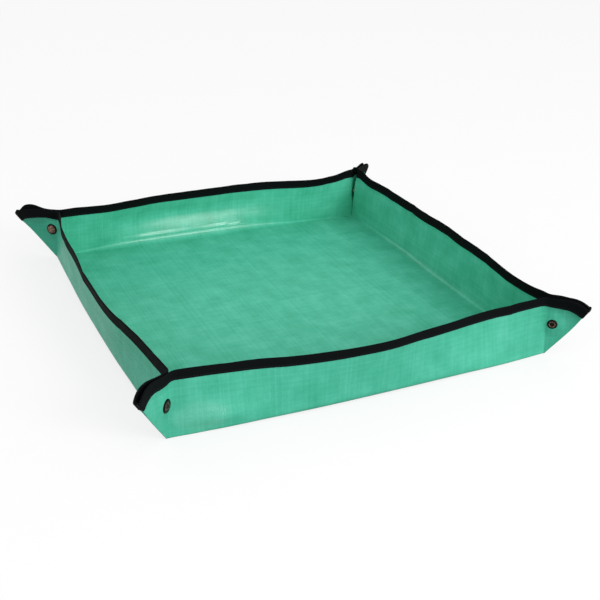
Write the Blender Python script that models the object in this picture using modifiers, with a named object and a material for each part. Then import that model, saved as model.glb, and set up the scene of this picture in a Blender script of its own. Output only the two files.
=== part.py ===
# Repotting mat: one square of coated woven tarp, bound with a folded tape all round, whose four
# walls stand up because a snap fastener pinches each corner into an outward pointing ear.
# Metres, +Z up. The origin is on the ground under the middle of the base.
# The sheet is divided at its fold lines, so that the walls and the ears can fold flat:
# a wall turns about the crease at its foot, and half of an ear turns about the pinch line at
# its wall's end. Every piece is modelled in the frame of the fold line that carries it.

import math

import bmesh
import bpy
from mathutils import Matrix, Vector

MM = 0.001

# Tarp sheet
BASE_SIDE = 520 * MM
WALL_HEIGHT = 80 * MM
CORNER_RADIUS = 50 * MM
SHEET_THICKNESS = 0.4 * MM
CREASE_GAP = 0.4 * MM
PINCH_GAP = 0.35 * MM

# Stance of the walls and ears
LEAN_AT_MIDDLE = math.radians(7)
LEAN_AT_ENDS = math.radians(-5)
WALL_BELLY = 2 * MM
EAR_FLARE = 2.5 * MM
EAR_FLARE_DEPTH = 24 * MM
FOLD_ROLL = 14 * MM
EAR_ROOT_SHARE = 0.05

# Edging tape, folded over the rim
TAPE_WIDTH = 13 * MM
TAPE_THICKNESS = 0.5 * MM
TAPE_CLEARANCE = 0.3 * MM
TAPE_END_GAP = 0.75 * MM

# Snap fastener: where it sits and how closely its pieces lie together
SNAP_BELOW_TAPE = 23 * MM
SNAP_FROM_PINCH = 11 * MM
SEAT_CLEARANCE = 0.15 * MM
RUNNING_CLEARANCE = 0.3 * MM

# Cap, with the post that holds the socket
CAP_RADIUS = 7.5 * MM
CAP_HEIGHT = 2.1 * MM
CAP_EDGE = 0.7 * MM
CAP_DIMPLE_RADIUS = 2.2 * MM
CAP_DIMPLE_DEPTH = 0.5 * MM
POST_RADIUS = 1.5 * MM

# Socket and the split ring in it
SOCKET_RADIUS = 5.8 * MM
SOCKET_HEIGHT = 2.6 * MM
SOCKET_WALL = 0.5 * MM
SPRING_WIRE = 0.7 * MM
SPRING_OPENING = math.radians(50)

# Stud and the eyelet whose barrel holds it
STUD_RADIUS = 5.6 * MM
STUD_FLANGE = 0.6 * MM
NUB_LENGTH = 2.15 * MM
NUB_WALL = 0.4 * MM
NUB_BULGE = 0.3 * MM
EYELET_RADIUS = 5.9 * MM
EYELET_HEIGHT = 1.2 * MM
EYELET_BORE = 1.7 * MM
EYELET_WALL = 0.6 * MM

# Mesh density
WALL_COLUMNS = 16
WALL_ROWS = 4
EAR_COLUMNS = 7
EAR_ROWS = 5
TAPE_ROWS = 2
TAPE_ROUND_STEPS = 2
TURN_STEPS = 16

# Sizes that follow from the ones above
HALF_SIDE = BASE_SIDE / 2
HALF_SHEET = SHEET_THICKNESS / 2
TAPE_OFFSET = HALF_SHEET + TAPE_CLEARANCE + TAPE_THICKNESS / 2
TAPE_HALF_BUILD = TAPE_OFFSET + TAPE_THICKNESS / 2
SEAT = HALF_SHEET + SEAT_CLEARANCE
EAR_HALF_GAP = (SHEET_THICKNESS + 2 * SEAT_CLEARANCE + STUD_FLANGE + RUNNING_CLEARANCE
                + SOCKET_HEIGHT) / 2
FOLD_HALF_GAP = TAPE_HALF_BUILD + SEAT_CLEARANCE
SNAP_HEIGHT = WALL_HEIGHT - TAPE_WIDTH - SNAP_BELOW_TAPE
BARREL_RADIUS = EYELET_BORE + EYELET_WALL
NUB_BORE = BARREL_RADIUS + RUNNING_CLEARANCE
NUB_RADIUS = NUB_BORE + NUB_WALL
BULB_RADIUS = NUB_RADIUS + NUB_BULGE
RING_RADIUS = BULB_RADIUS + RUNNING_CLEARANCE + SPRING_WIRE / 2

# A pinched wall end leans inwards. The pinch line then slants along the wall as well, by SKEW,
# so that it lies in the upright plane that halves the corner.
SKEW = math.atan(-math.sin(LEAN_AT_ENDS))

# The four walls, by the turn about Z that takes +Y to their outward side, and what stands at
# the end of the wall that lies at +X before that turn, and at -X.
WALLS = {
    "back": (0, "right", "left"),
    "left": (90, "back", "front"),
    "front": (180, "left", "right"),
    "right": (270, "front", "back"),
}
STUD_WALLS = ("front", "back")

COLLECTION = "repotting_mat"
GUIDES = "cutters"


def clear_scene():
    for old in list(bpy.data.objects):
        bpy.data.objects.remove(old)


def new_collection(name):
    made = bpy.data.collections.new(name)
    bpy.context.scene.collection.children.link(made)
    return made


def make_material(name, colour, roughness, metallic=0.0):
    made = bpy.data.materials.new(name)
    made.use_nodes = True
    shader = made.node_tree.nodes["Principled BSDF"]
    shader.inputs["Base Color"].default_value = (*colour, 1.0)
    shader.inputs["Roughness"].default_value = roughness
    shader.inputs["Metallic"].default_value = metallic
    made.diffuse_color = (*colour, 1.0)
    return made


def smooth(share):
    """Rise from 0 to 1 with level ends, held at 0 below and 1 above."""
    held = min(max(share, 0.0), 1.0)
    return held * held * (3 - 2 * held)


def add_mesh(name, bm, parent, material, group):
    """Turn a bmesh into a named object in the frame of its parent."""
    mesh = bpy.data.meshes.new(name)
    bm.to_mesh(mesh)
    bm.free()
    mesh.materials.append(material)
    mesh.shade_smooth()
    made = bpy.data.objects.new(name, mesh)
    made.parent = parent
    group.objects.link(made)
    return made


def add_thickness(made, thickness):
    solid = made.modifiers.new("thickness", "SOLIDIFY")
    solid.thickness = thickness
    solid.offset = 0.0
    solid.use_even_offset = True


def mapped_grid(columns, rows, place):
    """A grid whose vertices are sent to place(across, up), both running from 0 to 1."""
    bm = bmesh.new()
    bmesh.ops.create_grid(bm, x_segments=columns, y_segments=rows, size=1)
    for vert in bm.verts:
        vert.co = place((vert.co.x + 1) / 2, (vert.co.y + 1) / 2)
    return bm


def add_axis(name, parent, matrix, group):
    """An empty whose origin lies on a fold line."""
    made = bpy.data.objects.new(name, None)
    made.empty_display_size = TAPE_WIDTH
    made.parent = parent
    made.matrix_local = matrix
    group.objects.link(made)
    return made


# Wall: X runs along the crease, Y points outwards and Z up, from the middle of the crease

def wall_point(along, height):
    """A point of the wall's middle surface; along is -1 to 1, height is the way up the slope."""
    pinch_x = HALF_SIDE - math.sqrt(2) * EAR_HALF_GAP - height * math.tan(SKEW)
    swing = (1 + math.cos(math.pi * along)) / 2
    lean = LEAN_AT_ENDS + (LEAN_AT_MIDDLE - LEAN_AT_ENDS) * swing
    belly = WALL_BELLY * math.sin(math.pi * height / WALL_HEIGHT) * swing
    return Vector((along * pinch_x, height * math.sin(lean) + belly, height * math.cos(lean)))


def wall_trim(height, gap):
    """The share of the half wall that is left when its end stops a gap short of the pinch."""
    pinch_x = HALF_SIDE - math.sqrt(2) * EAR_HALF_GAP - height * math.tan(SKEW)
    return 1 - gap / (math.cos(SKEW) * pinch_x)


def make_wall(name, axis, material, group):
    def place(across, up):
        height = CREASE_GAP + (WALL_HEIGHT - CREASE_GAP) * up
        return wall_point((2 * across - 1) * wall_trim(height, PINCH_GAP), height)

    made = add_mesh(name, mapped_grid(WALL_COLUMNS, WALL_ROWS, place), axis, material, group)
    add_thickness(made, SHEET_THICKNESS)
    return made


def tape_section():
    """Depth below the rim and place around the fold, for one cut across the folded tape."""
    depths = [TAPE_WIDTH * row / TAPE_ROWS for row in range(TAPE_ROWS + 1)]
    section = [(depth, 1.0, 0.0) for depth in reversed(depths)]
    for step in range(1, 2 * TAPE_ROUND_STEPS):
        turn = math.pi * step / (2 * TAPE_ROUND_STEPS)
        section.append((0.0, math.cos(turn), math.sin(turn)))
    return section + [(depth, -1.0, 0.0) for depth in depths]


def make_tape(name, stations, surface, axis, material, group):
    """Fold a tape over a rim; surface(share, depth) gives a point, its normal and the way up."""
    section = tape_section()

    def place(across, up):
        depth, side, rise = section[round(up * (len(section) - 1))]
        point, normal, upward = surface(across, depth)
        return point + normal * (side * TAPE_OFFSET) + upward * (rise * TAPE_OFFSET)

    made = add_mesh(name, mapped_grid(stations, len(section) - 1, place), axis, material, group)
    add_thickness(made, TAPE_THICKNESS)
    return made


def wall_rim(share, depth):
    """Point, outward normal and upward direction on the wall at a depth below its rim."""
    height = WALL_HEIGHT - depth
    along = (2 * share - 1) * wall_trim(height, TAPE_END_GAP)
    step = PINCH_GAP / HALF_SIDE
    point = wall_point(along, height)
    side = wall_point(along + step, height) - wall_point(along - step, height)
    upward = wall_point(along, height) - wall_point(along, height - PINCH_GAP)
    return point, upward.cross(side).normalized(), upward.normalized()


# Ear half: Z runs up the pinch line, X away from it in the plane of the ear

def ear_frame(end):
    """The pinch line at one end of a wall, as a matrix in the wall's own frame."""
    lean = -LEAN_AT_ENDS
    pinch = Vector((-end * math.sin(SKEW), -math.cos(SKEW) * math.sin(lean),
                    math.cos(SKEW) * math.cos(lean)))
    outward = Vector((end, 1, 0)).normalized()
    away = (outward - pinch * outward.dot(pinch)).normalized()
    turn = Matrix((away, pinch.cross(away), pinch)).transposed()
    foot = Vector((end * (HALF_SIDE - math.sqrt(2) * EAR_HALF_GAP), 0, 0))
    return Matrix.Translation(foot) @ turn.to_4x4()


def flat_to_ear(aside, out):
    """Turn a place on the flat sheet, from the base corner, into distances in the ear's plane."""
    tilt = math.acos(math.cos(SKEW) * math.cos(LEAN_AT_ENDS))
    away = aside * math.cos(SKEW) + out * math.sin(SKEW) + EAR_HALF_GAP * math.cos(tilt)
    up = out * math.cos(SKEW) - aside * math.sin(SKEW) - EAR_HALF_GAP * math.sin(tilt)
    return away, up


def ear_rim(share, end_gap):
    """A point of the ear's rim and the way in from it: straight first, then round the corner."""
    straight_end = WALL_HEIGHT - CORNER_RADIUS
    start = -WALL_HEIGHT * math.tan(SKEW) - (EAR_HALF_GAP - end_gap) / math.cos(SKEW)
    straight = straight_end - start
    travel = share * (straight + CORNER_RADIUS * math.pi / 4)
    if travel <= straight:
        slant = math.tan(SKEW) * (1 - travel / straight)
        return (start + travel, WALL_HEIGHT), (slant, -1.0)
    turn = (travel - straight) / CORNER_RADIUS
    across, down = -math.sin(turn), -math.cos(turn)
    place = (straight_end - CORNER_RADIUS * across, straight_end - CORNER_RADIUS * down)
    return place, (across, down)


def ear_tip_turn():
    """The angle at the ear's foot between the pinch line and the folded edge."""
    away, up = flat_to_ear(*ear_rim(1.0, PINCH_GAP)[0])
    return math.atan2(away - PINCH_GAP, up)


def ear_bulge(away, up):
    """How far the ear half stands from the flat plane through its pinch line."""
    reach = math.hypot(away - PINCH_GAP, up)
    turn = math.atan2(away - PINCH_GAP, up)
    edge = ear_tip_turn()
    to_fold = reach * math.sin(max(edge - turn, 0.0))
    drawn_in = (FOLD_HALF_GAP - EAR_HALF_GAP) * (1 - smooth(to_fold / FOLD_ROLL))
    arch = math.sin(math.pi * min(max(turn / edge, 0.0), 1.0))
    flare = EAR_FLARE * arch * smooth((reach - WALL_HEIGHT + EAR_FLARE_DEPTH) / EAR_FLARE_DEPTH)
    return drawn_in + flare


def ear_point(away, up, end):
    return Vector((away, end * ear_bulge(away, up), up))


def make_ear(name, end, axis, material, group):
    rows = EAR_ROWS + TAPE_ROWS

    def place(across, up):
        (aside, out), (aside_in, out_in) = ear_rim(across, PINCH_GAP)
        row = round(up * rows)
        depth = TAPE_WIDTH * min((rows - row) / TAPE_ROWS, 1.0)
        away, above = flat_to_ear(aside + aside_in * depth, out + out_in * depth)
        share = EAR_ROOT_SHARE + (1 - EAR_ROOT_SHARE) * min(row / EAR_ROWS, 1.0)
        return ear_point(PINCH_GAP + (away - PINCH_GAP) * share, above * share, end)

    made = add_mesh(name, mapped_grid(EAR_COLUMNS, rows, place), axis, material, group)
    add_thickness(made, SHEET_THICKNESS)
    return made


def ear_edge(end):
    """The rim of an ear half, as make_tape asks for it."""
    def surface(share, depth):
        (aside, out), (aside_in, out_in) = ear_rim(share, TAPE_END_GAP)

        def at(deeper):
            return ear_point(*flat_to_ear(aside + aside_in * deeper, out + out_in * deeper), end)

        def beside(shift):
            away, up = flat_to_ear(aside + aside_in * depth - out_in * shift,
                                   out + out_in * depth + aside_in * shift)
            return ear_point(away, up, end)

        point = at(depth)
        upward = at(depth - PINCH_GAP / 2) - at(depth + PINCH_GAP / 2)
        side = beside(PINCH_GAP / 2) - beside(-PINCH_GAP / 2)
        return point, (upward.cross(side) * end).normalized(), upward.normalized()

    return surface


# Snap fastener: Z points out of the ear, and the sheet's middle is at 0

def snap_frame(end):
    """The snap's place in the frame of an ear half."""
    place = Matrix.Translation((SNAP_FROM_PINCH, 0, SNAP_HEIGHT))
    return place @ Matrix.Rotation(-end * math.pi / 2, 4, "X")


def turned(name, profile, closed, axis, matrix, material, group):
    """Turn a profile about Z; its outer side runs from the top down."""
    bm = bmesh.new()
    verts = [bm.verts.new((radius, 0, height)) for radius, height in profile]
    for first, second in zip(verts, verts[1:]):
        bm.edges.new((first, second))
    if closed:
        bm.edges.new((verts[-1], verts[0]))
    made = add_mesh(name, bm, axis, material, group)
    made.matrix_local = matrix
    screw = made.modifiers.new("turn", "SCREW")
    screw.steps = TURN_STEPS
    screw.render_steps = TURN_STEPS
    screw.use_merge_vertices = True
    screw.merge_threshold = SEAT_CLEARANCE / 10
    screw.use_smooth_shade = True
    return made


def cap_profile():
    """A domed cap with a dimple, and the post under it that ends in the socket's back."""
    dome = [(0.0, SEAT + CAP_HEIGHT - CAP_DIMPLE_DEPTH)]
    for turn in (0, 30, 60, 90):
        swing = math.radians(turn)
        start = CAP_DIMPLE_RADIUS
        dome.append((start + (CAP_RADIUS - start) * math.sin(swing),
                     SEAT + CAP_EDGE + (CAP_HEIGHT - CAP_EDGE) * math.cos(swing)))
    post_end = -SEAT - SOCKET_WALL + SEAT_CLEARANCE
    return dome + [(CAP_RADIUS - CAP_EDGE / 2, SEAT), (POST_RADIUS, SEAT),
                   (POST_RADIUS, post_end), (0.0, post_end)]


def socket_profile():
    """A hollow button, open to the stud, with room for the split ring round its mouth."""
    back = -SEAT
    mouth = back - SOCKET_HEIGHT
    mouth_radius = BULB_RADIUS + RUNNING_CLEARANCE
    room = RING_RADIUS + SPRING_WIRE / 2 + RUNNING_CLEARANCE
    post_hole = POST_RADIUS + RUNNING_CLEARANCE
    return [(SOCKET_RADIUS - SOCKET_WALL, back), (SOCKET_RADIUS, back - SOCKET_WALL),
            (SOCKET_RADIUS, mouth + SOCKET_WALL), (SOCKET_RADIUS - SOCKET_WALL, mouth),
            (mouth_radius, mouth), (mouth_radius, mouth + SOCKET_WALL),
            (room, mouth + SOCKET_WALL), (room, back - SOCKET_WALL),
            (post_hole, back - SOCKET_WALL), (post_hole, back)]


def stud_profile():
    """A flange and the hollow nub that snaps past the split ring."""
    top = -SEAT
    under = top - STUD_FLANGE
    tip = under - NUB_LENGTH
    return [(STUD_RADIUS - STUD_FLANGE / 2, top), (STUD_RADIUS, top - STUD_FLANGE / 2),
            (STUD_RADIUS - STUD_FLANGE / 2, under), (NUB_RADIUS, under),
            (NUB_RADIUS, under - NUB_LENGTH / 3), (BULB_RADIUS, under - NUB_LENGTH * 2 / 3),
            (NUB_RADIUS, tip), (NUB_BORE, tip), (NUB_BORE, top)]


def eyelet_profile():
    """A rolled ring with a barrel that passes through the sheet and the stud."""
    end = -SEAT - STUD_FLANGE - NUB_LENGTH
    crown = SEAT + EYELET_HEIGHT
    shoulder = SEAT + EYELET_HEIGHT * 3 / 4
    middle = (BARREL_RADIUS + EYELET_RADIUS) / 2
    return [(middle, crown), (EYELET_RADIUS - EYELET_HEIGHT / 2, shoulder),
            (EYELET_RADIUS, SEAT + EYELET_HEIGHT / 3), (EYELET_RADIUS - EYELET_HEIGHT / 4, SEAT),
            (BARREL_RADIUS, SEAT), (BARREL_RADIUS, end), (EYELET_BORE, end),
            (EYELET_BORE, SEAT + EYELET_HEIGHT / 2), (BARREL_RADIUS, shoulder)]


def make_spring(name, axis, matrix, material, group):
    """A split ring of wire, lying in the socket's room."""
    curve = bpy.data.curves.new(name, "CURVE")
    curve.dimensions = "3D"
    curve.bevel_depth = SPRING_WIRE / 2
    curve.bevel_resolution = 1
    curve.use_fill_caps = True
    spline = curve.splines.new("POLY")
    spline.points.add(TURN_STEPS - 1)
    level = -SEAT - SOCKET_HEIGHT / 2
    for index, point in enumerate(spline.points):
        turn = SPRING_OPENING / 2 + (2 * math.pi - SPRING_OPENING) * index / (TURN_STEPS - 1)
        point.co = (RING_RADIUS * math.cos(turn), RING_RADIUS * math.sin(turn), level, 1)
    curve.materials.append(material)
    made = bpy.data.objects.new(name, curve)
    made.parent = axis
    made.matrix_local = matrix
    group.objects.link(made)
    return made


def pierce(sheet, radius, axis, matrix, guides):
    """Cut the round hole that a snap's post or barrel passes through."""
    bm = bmesh.new()
    depth = 2 * SHEET_THICKNESS + 2 * EAR_FLARE
    bmesh.ops.create_cone(bm, cap_ends=True, segments=TURN_STEPS, radius1=radius, radius2=radius,
                          depth=depth)
    mesh = bpy.data.meshes.new(sheet.name + "_hole")
    bm.to_mesh(mesh)
    bm.free()
    cutter = bpy.data.objects.new(sheet.name + "_hole", mesh)
    cutter.parent = axis
    cutter.matrix_local = matrix
    cutter.hide_render = True
    cutter.display_type = "WIRE"
    guides.objects.link(cutter)
    cut = sheet.modifiers.new("hole", "BOOLEAN")
    cut.operation = "DIFFERENCE"
    cut.solver = "EXACT"
    cut.object = cutter


def make_base(material, group):
    """The flat bottom of the sheet, stopping short of the creases, its corners eased."""
    bm = bmesh.new()
    bmesh.ops.create_grid(bm, x_segments=1, y_segments=1, size=HALF_SIDE - CREASE_GAP)
    bmesh.ops.translate(bm, verts=bm.verts, vec=(0, 0, HALF_SHEET))
    bmesh.ops.bevel(bm, geom=list(bm.verts), offset=EAR_HALF_GAP, segments=2, profile=0.5,
                    affect="VERTICES", offset_type="OFFSET", clamp_overlap=True)
    made = add_mesh("tarp_base", bm, None, material, group)
    add_thickness(made, SHEET_THICKNESS)


def make_snap_half(corner, wall, end, ear, axis, looks, group, guides):
    """The two or three snap pieces that one ear half carries."""
    matrix = snap_frame(end)
    brass = looks["brass"]
    if wall in STUD_WALLS:
        pierce(ear, BARREL_RADIUS + RUNNING_CLEARANCE, axis, matrix, guides)
        turned("snap_stud_" + corner, stud_profile(), True, axis, matrix, brass, group)
        turned("snap_eyelet_" + corner, eyelet_profile(), True, axis, matrix, brass, group)
        return
    pierce(ear, POST_RADIUS + RUNNING_CLEARANCE, axis, matrix, guides)
    turned("snap_cap_" + corner, cap_profile(), False, axis, matrix, brass, group)
    turned("snap_socket_" + corner, socket_profile(), True, axis, matrix, brass, group)
    make_spring("snap_spring_" + corner, axis, matrix, looks["steel"], group)


def corner_name(wall, neighbour):
    """Name a corner by its front or back wall first."""
    first, second = (wall, neighbour) if wall in STUD_WALLS else (neighbour, wall)
    return first + "_" + second


def build():
    clear_scene()
    group = new_collection(COLLECTION)
    guides = new_collection(GUIDES)
    looks = {
        "tarp": make_material("coated_tarp", (0.085, 0.50, 0.32), 0.35),
        "tape": make_material("black_tape", (0.008, 0.010, 0.012), 0.6),
        "brass": make_material("antique_brass", (0.33, 0.22, 0.13), 0.35, 1.0),
        "steel": make_material("spring_steel", (0.55, 0.55, 0.56), 0.3, 1.0),
    }
    make_base(looks["tarp"], group)
    for wall, (turn, plus_neighbour, minus_neighbour) in WALLS.items():
        crease = (Matrix.Rotation(math.radians(turn), 4, "Z")
                  @ Matrix.Translation((0, HALF_SIDE, HALF_SHEET)))
        wall_axis = add_axis("crease_" + wall, None, crease, group)
        make_wall("tarp_wall_" + wall, wall_axis, looks["tarp"], group)
        make_tape("edging_" + wall, WALL_COLUMNS, wall_rim, wall_axis, looks["tape"], group)
        for end, neighbour in ((1, plus_neighbour), (-1, minus_neighbour)):
            name = "ear_" + wall + "_" + neighbour
            ear_axis = add_axis("pinch_" + wall + "_" + neighbour, wall_axis, ear_frame(end), group)
            ear = make_ear("tarp_" + name, end, ear_axis, looks["tarp"], group)
            make_tape("edging_" + name, EAR_COLUMNS, ear_edge(end), ear_axis, looks["tape"], group)
            corner = corner_name(wall, neighbour)
            make_snap_half(corner, wall, end, ear, ear_axis, looks, group, guides)
    bpy.context.view_layer.update()


build()
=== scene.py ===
# %% [markdown]
# # A repotting mat
#
# The object is one square of coated woven tarp with a black tape folded over its edge. A snap
# fastener pinches each corner into an ear, and that stands the four walls up into a tray.
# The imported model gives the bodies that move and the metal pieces. This lesson dresses it: soft
# cloth with its true bends, a tape with stitches, round metal, and finishes made of nodes.
#
# The frame is loaded first. It holds every solid where it stands, in metres, with Z up and the
# ground at zero, so nothing made here has to be fitted afterwards.

# %% Load the frame
import math

import bmesh
import bpy
from mathutils import Matrix, Vector, noise


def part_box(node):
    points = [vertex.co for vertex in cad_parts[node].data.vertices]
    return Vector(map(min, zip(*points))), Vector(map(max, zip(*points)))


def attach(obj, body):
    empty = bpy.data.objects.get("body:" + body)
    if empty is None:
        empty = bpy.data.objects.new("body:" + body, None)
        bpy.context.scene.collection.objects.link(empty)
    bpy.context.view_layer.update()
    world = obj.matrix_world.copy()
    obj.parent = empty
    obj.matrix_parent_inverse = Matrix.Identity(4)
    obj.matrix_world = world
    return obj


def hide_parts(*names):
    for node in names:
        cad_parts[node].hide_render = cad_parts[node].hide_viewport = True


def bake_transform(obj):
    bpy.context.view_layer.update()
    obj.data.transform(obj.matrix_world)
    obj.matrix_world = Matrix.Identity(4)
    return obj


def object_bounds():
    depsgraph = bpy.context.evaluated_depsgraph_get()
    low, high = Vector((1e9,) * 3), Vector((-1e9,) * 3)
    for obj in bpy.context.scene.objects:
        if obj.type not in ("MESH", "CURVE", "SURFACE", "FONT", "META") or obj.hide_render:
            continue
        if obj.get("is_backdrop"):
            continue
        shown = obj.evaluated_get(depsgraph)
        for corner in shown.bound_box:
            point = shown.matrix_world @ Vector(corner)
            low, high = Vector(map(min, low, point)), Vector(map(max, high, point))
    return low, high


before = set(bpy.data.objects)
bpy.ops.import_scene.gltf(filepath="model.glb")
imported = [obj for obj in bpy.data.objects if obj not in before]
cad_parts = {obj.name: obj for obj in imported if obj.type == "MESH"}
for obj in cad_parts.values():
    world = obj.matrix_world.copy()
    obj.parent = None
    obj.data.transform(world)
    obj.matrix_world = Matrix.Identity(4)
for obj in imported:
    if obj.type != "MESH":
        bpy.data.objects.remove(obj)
solid_box = [list(corner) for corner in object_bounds()]

# %% [markdown]
# A camera is set from what the picture shows. The four corners of the mat's base are a square of
# known side, and only one view sends them where the picture has them. That view was solved once:
# a turn round the mat, a height above the horizon, a small roll of the hand-held camera, a
# distance, and a lens. The picture is a crop, so its centre isn't the lens's, which the small
# shift puts right.

# %% Camera
MM = 0.001
TURN, RISE, ROLL = math.radians(-26.33), math.radians(26.68), math.radians(2.65)
DISTANCE = 1325 * MM
FOCAL_PIXELS = 927.9
LENS_CENTRE_PIXELS = (280.95, 300.94)
PICTURE_PIXELS = 600


def put_in_scene(name, data):
    """Make an object of some data, such as a lens, a lamp or a mesh, and show it in the scene."""
    made = bpy.data.objects.new(name, data)
    bpy.context.scene.collection.objects.link(made)
    return made


def place_camera():
    data = bpy.data.cameras.new("camera")
    data.lens = FOCAL_PIXELS / PICTURE_PIXELS * data.sensor_width
    data.shift_x = 0.5 - LENS_CENTRE_PIXELS[0] / PICTURE_PIXELS
    data.shift_y = LENS_CENTRE_PIXELS[1] / PICTURE_PIXELS - 0.5
    camera = put_in_scene("camera", data)
    back = Vector((math.sin(TURN) * math.cos(RISE), -math.cos(TURN) * math.cos(RISE),
                   math.sin(RISE)))
    right = Vector((math.cos(TURN), math.sin(TURN), 0))
    right.rotate(Matrix.Rotation(ROLL, 3, back))
    up = back.cross(right)
    camera.matrix_world = Matrix((right, up, back)).transposed().to_4x4()
    camera.location = back * DISTANCE
    bpy.context.scene.camera = camera
    return camera


print("lens", round(place_camera().data.lens, 2), "mm")

# %% [markdown]
# The picture is a cut-out on white, lit softly from the front and a little from the right: cloth
# that faces the front is as light as the floor of the tray, and cloth that faces left is darker.
# One broad lamp stands there, 26 degrees above the horizon, and a pale sky fills in the rest,
# with a weak lamp on the left. A small one just above the floor gives the cloth something to
# gleam with. Together they light the cloth at a level at which a colour renders about as it is
# written. The board that the mat stands on is grey to the light that bounces off it, because a
# white one would whiten the walls from below. To the camera and in reflections, it and the sky
# are white, and a share of the real shading is left in, which keeps the mat's soft shadow.

# %% Light and floor
SKY_STRENGTH = 0.72
# name, degrees to the right of the front, degrees up, distance and side in mm, watts
LAMPS = (("front_lamp", 24, 26, 3400, 1300, 53), ("left_lamp", -70, 25, 3400, 1300, 10),
         ("low_lamp", 24, 7, 2500, 400, 5))
FLOOR_SIDE = 8000 * MM
FLOOR_DROP = 0.3 * MM
SHADOW_SHARE = 0.25
WHITE = "FFFFFF"
BOARD_GREY = "505050"


def linear(code):
    """Turn an sRGB hex colour such as 4DBB98 into linear red, green, blue and a full alpha."""
    parts = [int(code[place:place + 2], 16) / 255 for place in (0, 2, 4)]
    return [part / 12.92 if part <= 0.04045 else ((part + 0.055) / 1.055) ** 2.4
            for part in parts] + [1.0]


def set_node(tree, node, sockets=(), links=()):
    """Set values of a node's sockets and link what feeds it, a socket or a node's first output."""
    for name, value in dict(sockets).items():
        node.inputs[name].default_value = value
    for name, source in dict(links).items():
        tree.links.new(getattr(source, "outputs", [source])[0], node.inputs[name])


def add_node(tree, kind, settings=(), sockets=(), links=()):
    """Add a node; settings are its properties, sockets its values, links its incoming sockets."""
    node = tree.nodes.new("ShaderNode" + kind)
    for name, value in dict(settings).items():
        setattr(node, name, value)
    set_node(tree, node, sockets, links)
    return node


def seen_straight(tree):
    """A share that is 1 for rays from the camera and for reflected or refracted ones."""
    path = add_node(tree, "LightPath")
    mirrored = add_node(tree, "Math", {"operation": "MAXIMUM"},
                        links={0: path.outputs["Is Camera Ray"], 1: path.outputs["Is Glossy Ray"]})
    return add_node(tree, "Math", {"operation": "MAXIMUM"},
                    links={0: mirrored, 1: path.outputs["Is Transmission Ray"]})


def hang_sky():
    world = bpy.data.worlds.new("pale_sky")
    world.use_nodes = True
    tree = world.node_tree
    sky = tree.nodes["Background"]
    set_node(tree, sky, {"Color": linear(WHITE), "Strength": SKY_STRENGTH})
    white = add_node(tree, "Background", sockets={"Color": linear(WHITE), "Strength": 1.0})
    both = add_node(tree, "MixShader", links={"Fac": seen_straight(tree), 1: sky, 2: white})
    set_node(tree, tree.nodes["World Output"], links={"Surface": both})
    bpy.context.scene.world = world


def hang_lamp(name, turn, rise, distance, side, watts):
    lamp = bpy.data.lights.new(name, "AREA")
    lamp.shape = "SQUARE"
    lamp.size = side * MM
    lamp.energy = watts
    stand = put_in_scene(name, lamp)
    way = Vector((0, -math.cos(math.radians(rise)), math.sin(math.radians(rise))))
    way.rotate(Matrix.Rotation(math.radians(turn), 3, "Z"))
    stand.location = way * (distance * MM)
    stand.rotation_euler = way.to_track_quat("Z", "Y").to_euler()


def new_finish(name):
    finish = bpy.data.materials.new(name)
    finish.use_nodes = True
    return finish, finish.node_tree, finish.node_tree.nodes["Principled BSDF"]


def pale_board():
    """Matt painted board: grey for bounced light, white with a soft shadow to the eye."""
    finish, tree, grey = new_finish("pale_matt_board")
    set_node(tree, grey, {"Base Color": linear(BOARD_GREY), "Roughness": 1.0,
                          "Specular IOR Level": 0.0})
    glow = add_node(tree, "Emission", sockets={"Color": linear(WHITE), "Strength": 1.0})
    chalk = add_node(tree, "BsdfDiffuse", sockets={"Color": linear(WHITE)})
    shaded = add_node(tree, "MixShader", sockets={"Fac": SHADOW_SHARE}, links={1: glow, 2: chalk})
    both = add_node(tree, "MixShader", links={"Fac": seen_straight(tree), 1: grey, 2: shaded})
    set_node(tree, tree.nodes["Material Output"], links={"Surface": both})
    return finish


def mesh_piece(bm, name, finish):
    """Turn a bmesh into an object with one finish, and let the bmesh go."""
    mesh = bpy.data.meshes.new(name)
    bm.to_mesh(mesh)
    bm.free()
    mesh.materials.append(finish)
    return put_in_scene(name, mesh)


def lay_floor():
    bm = bmesh.new()
    bmesh.ops.create_grid(bm, x_segments=1, y_segments=1, size=FLOOR_SIDE / 2)
    bmesh.ops.translate(bm, verts=bm.verts, vec=(0, 0, -FLOOR_DROP))
    mesh_piece(bm, "pale_floor", pale_board())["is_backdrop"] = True


bpy.context.scene.view_settings.view_transform = "Standard"
hang_sky()
for lamp in LAMPS:
    hang_lamp(*lamp)
lay_floor()
print("sky", SKY_STRENGTH, "lamps", len(LAMPS))

# %% [markdown]
# Materials are node trees, written with the same small function that added the sky's nodes: it
# makes a node, sets its sockets and links what feeds it. A pattern is laid out in the cloth's own
# flat millimetres: each piece of cloth carries a UV map that says where its points lay on the
# flat sheet, so the weave runs on across every fold.
#
# The tarp is polyethylene film, slit into tapes, drawn, woven flat and coated with molten
# polyethylene on both sides. The coat gives a wet-looking gloss that is broken up by the weave
# underneath: each tape is a low pillow 2.5 mm wide, and it dips where it goes under the next.
# The weave is two rounded waves, one along each direction, and a checker decides which of the
# two lies on top. No two tapes are drawn alike, so each has a tone of its own, and the cloth
# shows fine lines along and across. The coat is uneven too: wide noise gives that in the colour
# and the relief, and fine noise as glints in the gloss. Where the folded mat rubbed in its
# pack, the coat is polished to a clear gloss, which is the shader's own coat layer.

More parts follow.
